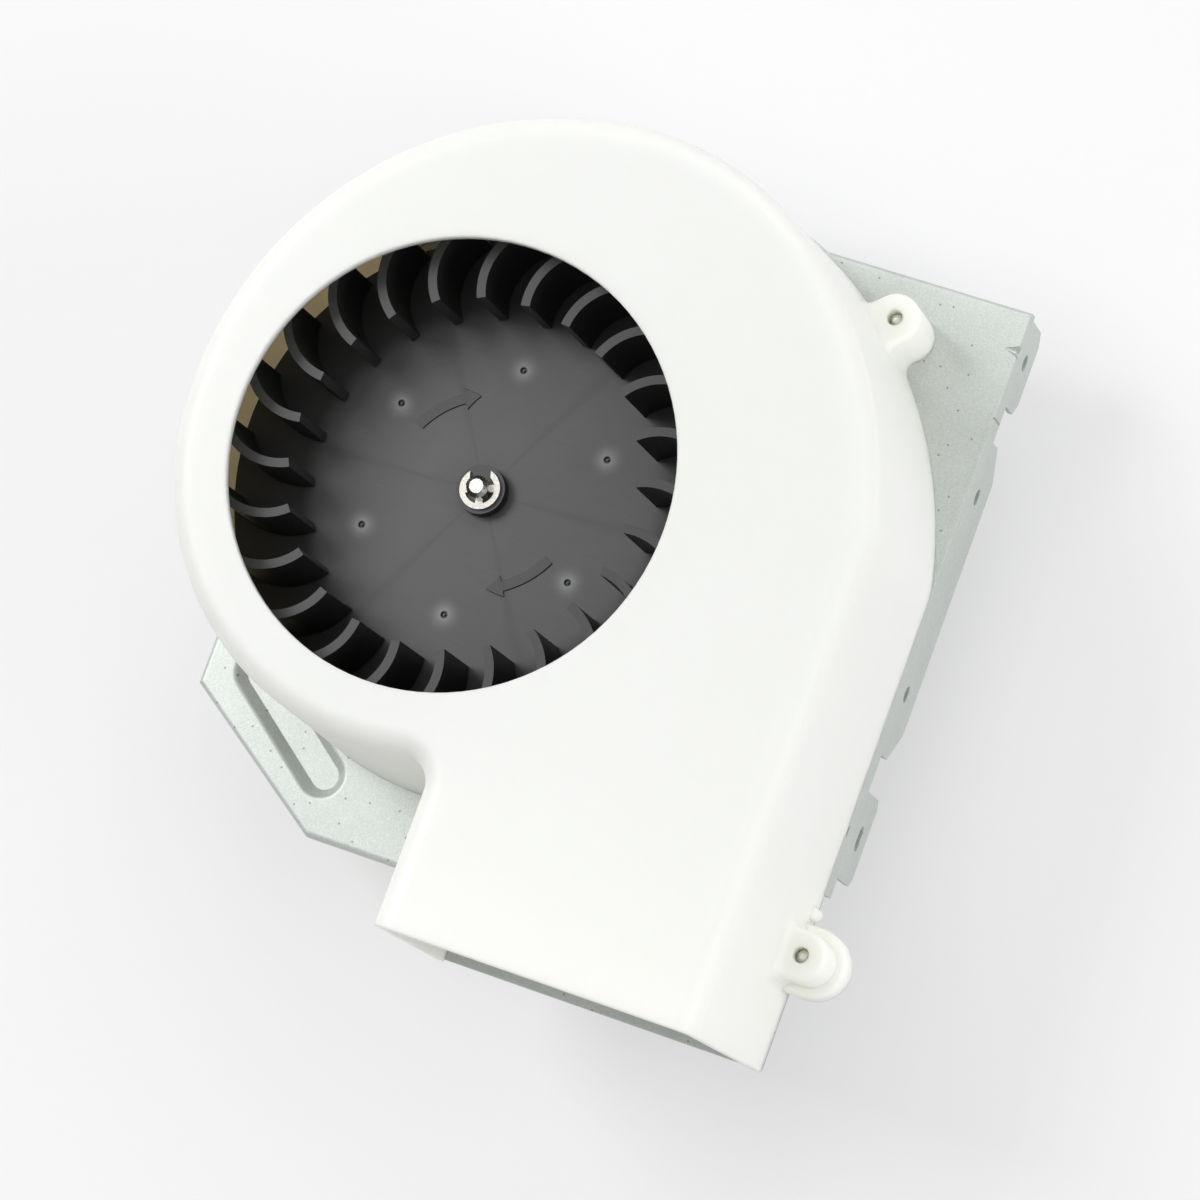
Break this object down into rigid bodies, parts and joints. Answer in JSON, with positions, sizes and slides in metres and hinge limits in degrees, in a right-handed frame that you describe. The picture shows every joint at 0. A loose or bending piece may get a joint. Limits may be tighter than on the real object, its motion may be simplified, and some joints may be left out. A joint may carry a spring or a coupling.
{
  "type": "centrifugal blower motor",
  "caption": "Centrifugal blower: moulded scroll with round inlet and square duct on a folded steel plate, with a bladed wheel on a shaded-pole motor.",
  "frame": {"origin": "centre of the inlet, in the plane of the scroll's face, on the shaft's axis", "axes": "+Z along the shaft, out of the inlet; -Y out of the duct; +X towards the fixing flange"},
  "size_m": [0.2074, 0.2207, 0.1155],
  "materials": {
    "housing_plastic": "satin, white reinforced polyester",
    "wheel_plastic": "satin, black",
    "coated_steel": "matt grey coating on sheet steel",
    "zinc_plated_steel": "bright zinc plate",
    "ground_steel": "ground",
    "spring_steel": "plated spring steel",
    "die_cast": "as cast",
    "lamination_steel": "stacked laminations",
    "cage_aluminium": "as cast",
    "sintered_bronze": "sintered, oiled",
    "copper": "bright",
    "enamelled_wire": "enamelled wire",
    "tinned_brass": "tinned",
    "bobbin_plastic": "moulded",
    "insulating_tape": "film tape",
    "bush_plastic": "moulded",
    "felt": "oiled felt",
    "rubber": "matt"
  },
  "bodies": {
    "stator": {"scroll_housing": "housing_plastic", "mounting_plate": "coated_steel", "housing_screws": "zinc_plated_steel", "front_bracket": "die_cast", "rear_bracket": "die_cast", "front_bearing": "sintered_bronze", "rear_bearing": "sintered_bronze", "bearing_retainers": "spring_steel", "oil_felts": "felt", "stator_stack": "lamination_steel", "coil_leg": "lamination_steel", "coil_bobbin": "bobbin_plastic", "coil_winding": "enamelled_wire", "coil_tape": "insulating_tape", "shading_rings": "copper", "terminal_block": "bobbin_plastic", "terminals": "tinned_brass", "rubber_grommets": "rubber", "spacer_sleeves": "zinc_plated_steel", "bolt_washers": "zinc_plated_steel", "motor_bolts": "zinc_plated_steel", "motor_nuts": "zinc_plated_steel"},
    "rotor": {"impeller": "wheel_plastic", "shaft": "ground_steel", "retaining_ring": "spring_steel", "rotor_core": "lamination_steel", "rotor_end_rings": "cage_aluminium", "thrust_bushes": "bush_plastic"}
  },
  "joints": [
    {"name": "fan_spin", "type": "hinge", "parent": "stator", "child": "rotor", "pos_m": [0, 0, 0], "axis": [0, 0, -1], "continuous": true}
  ]
}
